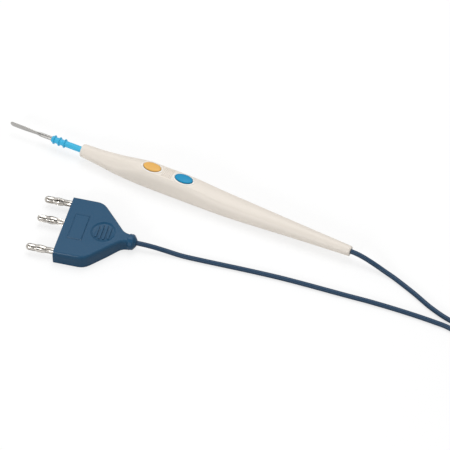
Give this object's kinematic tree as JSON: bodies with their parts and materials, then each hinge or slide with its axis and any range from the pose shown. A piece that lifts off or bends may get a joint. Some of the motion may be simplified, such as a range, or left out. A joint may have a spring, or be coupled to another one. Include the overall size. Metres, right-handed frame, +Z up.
{
  "type": "electrosurgical pencil",
  "caption": "Slim electrosurgical handpiece with push keys for cutting and coagulation, a removable blade electrode, a multi-pin banana plug and a long coiled cable.",
  "frame": {"origin": "on the resting surface, below the middle of the handpiece with its electrode", "axes": "+X along the handpiece from the blade towards the cable, +Z up through the keys"},
  "size_m": [0.3457, 0.0811, 0.0155],
  "materials": {
    "ivory_plastic": "satin moulded",
    "amber_plastic": "smooth moulded",
    "azure_plastic": "smooth moulded",
    "hub_plastic": "smooth moulded",
    "blade_steel": "fine brushed",
    "pin_metal": "nickel plated",
    "contact_brass": "drawn",
    "board_laminate": "solder mask",
    "plug_vinyl": "satin moulded",
    "carrier_plastic": "matt moulded",
    "cable_vinyl": "satin jacket",
    "tie_vinyl": "matt",
    "white_wire": "smooth",
    "yellow_wire": "smooth",
    "blue_wire": "smooth"
  },
  "bodies": {
    "handle": {"upper_shell": "ivory_plastic", "lower_shell": "ivory_plastic", "cut_dome": "pin_metal", "coag_dome": "pin_metal", "switch_board": "board_laminate", "electrode_contact": "contact_brass", "cable_clamp": "contact_brass", "active_wire": "white_wire", "cut_wire": "yellow_wire", "coag_wire": "blue_wire", "plug_body": "plug_vinyl", "pin_carrier": "carrier_plastic", "plug_pin_1": "pin_metal", "plug_pin_2": "pin_metal", "plug_pin_3": "pin_metal", "pin_spring_1": "pin_metal", "pin_spring_2": "pin_metal", "pin_spring_3": "pin_metal", "active_lead": "white_wire", "cut_lead": "yellow_wire", "coag_lead": "blue_wire", "cable_to_handle": "cable_vinyl", "cable_to_plug": "cable_vinyl", "cable_coil": "cable_vinyl", "coil_tie": "tie_vinyl"},
    "cut_key": {"cut_button": "amber_plastic"},
    "coag_key": {"coag_button": "azure_plastic"},
    "electrode": {"electrode_blade": "blade_steel", "electrode_hub": "hub_plastic"}
  },
  "joints": [
    {"name": "cut_press", "type": "slide", "parent": "handle", "child": "cut_key", "axis": [0, 0, -1], "range_m": [0, 0.0006], "stiffness_N_per_m": 2500, "springref_m": -0.0005, "deforming": ["cut_dome"]},
    {"name": "coag_press", "type": "slide", "parent": "handle", "child": "coag_key", "axis": [0, 0, -1], "range_m": [0, 0.0006], "stiffness_N_per_m": 2500, "springref_m": -0.0005, "deforming": ["coag_dome"]},
    {"name": "electrode_pull", "type": "slide", "parent": "handle", "child": "electrode", "axis": [-1, 0, 0], "range_m": [0, 0.025]}
  ]
}
